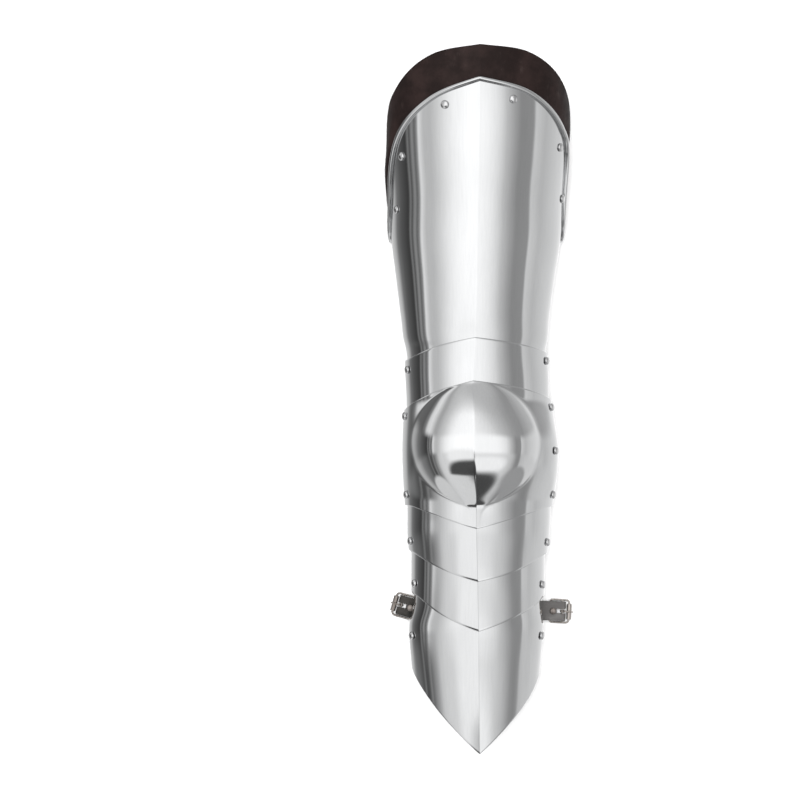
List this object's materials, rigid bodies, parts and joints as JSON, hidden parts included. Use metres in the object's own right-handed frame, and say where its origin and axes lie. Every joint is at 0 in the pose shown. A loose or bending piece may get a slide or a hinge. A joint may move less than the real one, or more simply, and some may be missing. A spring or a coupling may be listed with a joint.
{
  "type": "leg armour with thigh plate, articulated knee and shin plate",
  "caption": "Plate leg armour: ridged thigh plate with rolled rim and leather tab, domed knee on hinged lames, pointed shin plate with buckled strap stubs.",
  "frame": {"origin": "middle of the footprint, on the surface that the rear edges of the plates lie on", "axes": "+Z the front of the leg, +Y the thigh end, +X the outer side of the leg"},
  "size_m": [0.1812, 0.664, 0.099],
  "materials": {
    "steel_plate": "polished steel with faint brushed streaks",
    "bright_steel": "polished domed rivets and buckles",
    "tab_leather": "dark brown leather, softly mottled, low sheen",
    "strap_leather": "dark grey strap leather, low sheen"
  },
  "bodies": {
    "thigh": {"thigh_plate": "steel_plate", "thigh_tab": "tab_leather", "tab_rivet_1": "bright_steel", "tab_rivet_2": "bright_steel", "tab_rivet_3": "bright_steel", "tab_rivet_4": "bright_steel", "tab_rivet_5": "bright_steel", "tab_rivet_6": "bright_steel"},
    "upper_lame": {"upper_lame": "steel_plate", "thigh_pivot_inner": "bright_steel", "thigh_pivot_outer": "bright_steel"},
    "knee": {"knee_plate": "steel_plate", "upper_knee_pivot_inner": "bright_steel", "upper_knee_pivot_outer": "bright_steel", "lower_knee_pivot_inner": "bright_steel", "lower_knee_pivot_outer": "bright_steel", "knee_side_rivet": "bright_steel"},
    "lower_lame_1": {"lower_lame_1": "steel_plate", "lame_pivot_inner": "bright_steel", "lame_pivot_outer": "bright_steel"},
    "lower_lame_2": {"lower_lame_2": "steel_plate", "shin_pivot_inner": "bright_steel", "shin_pivot_outer": "bright_steel"},
    "shin": {"shin_plate": "steel_plate", "outer_strap": "strap_leather", "outer_strap_hold": "bright_steel", "outer_strap_rivet": "bright_steel", "outer_buckle_frame": "bright_steel", "inner_strap": "strap_leather", "inner_strap_hold": "bright_steel", "inner_strap_rivet": "bright_steel", "inner_buckle_frame": "bright_steel"},
    "outer_roller": {"outer_buckle_roller": "bright_steel"},
    "outer_prong": {"outer_buckle_prong": "bright_steel"},
    "inner_roller": {"inner_buckle_roller": "bright_steel"},
    "inner_prong": {"inner_buckle_prong": "bright_steel"}
  },
  "joints": [
    {"name": "thigh_pivot", "type": "hinge", "parent": "thigh", "child": "upper_lame", "pos_m": [-0.00344, 0.03539, 0.036], "axis": [0.9978, 0.0668, 0], "range_deg": [0, 18]},
    {"name": "upper_knee_pivot", "type": "hinge", "parent": "upper_lame", "child": "knee", "pos_m": [-0.00219, -0.0086, 0.036], "axis": [0.9979, 0.0646, 0], "range_deg": [0, 18]},
    {"name": "lower_knee_pivot", "type": "hinge", "parent": "knee", "child": "lower_lame_1", "pos_m": [-0.00092, -0.0877, 0.036], "axis": [1, 0, 0], "range_deg": [0, 18]},
    {"name": "lame_pivot", "type": "hinge", "parent": "lower_lame_1", "child": "lower_lame_2", "pos_m": [-0.00158, -0.1325, 0.034], "axis": [1, -0.008, 0], "range_deg": [0, 18]},
    {"name": "shin_pivot", "type": "hinge", "parent": "lower_lame_2", "child": "shin", "pos_m": [-0.002, -0.1727, 0.034], "axis": [1, -0.0085, 0], "range_deg": [0, 18]},
    {"name": "outer_prong_pivot", "type": "hinge", "parent": "shin", "child": "outer_prong", "pos_m": [0.08021, -0.20167, 0.0033], "axis": [-0.0523, -0.9986, 0], "range_deg": [0, 100]},
    {"name": "inner_prong_pivot", "type": "hinge", "parent": "shin", "child": "inner_prong", "pos_m": [-0.07558, -0.19567, 0.0033], "axis": [0.2756, 0.9613, 0], "range_deg": [0, 100]},
    {"name": "outer_roller_spin", "type": "hinge", "parent": "shin", "child": "outer_roller", "pos_m": [0.08661, -0.202, 0.0033], "axis": [-0.0523, -0.9986, 0], "continuous": true},
    {"name": "inner_roller_spin", "type": "hinge", "parent": "shin", "child": "inner_roller", "pos_m": [-0.08174, -0.19391, 0.0033], "axis": [0.2756, 0.9613, 0], "continuous": true}
  ]
}
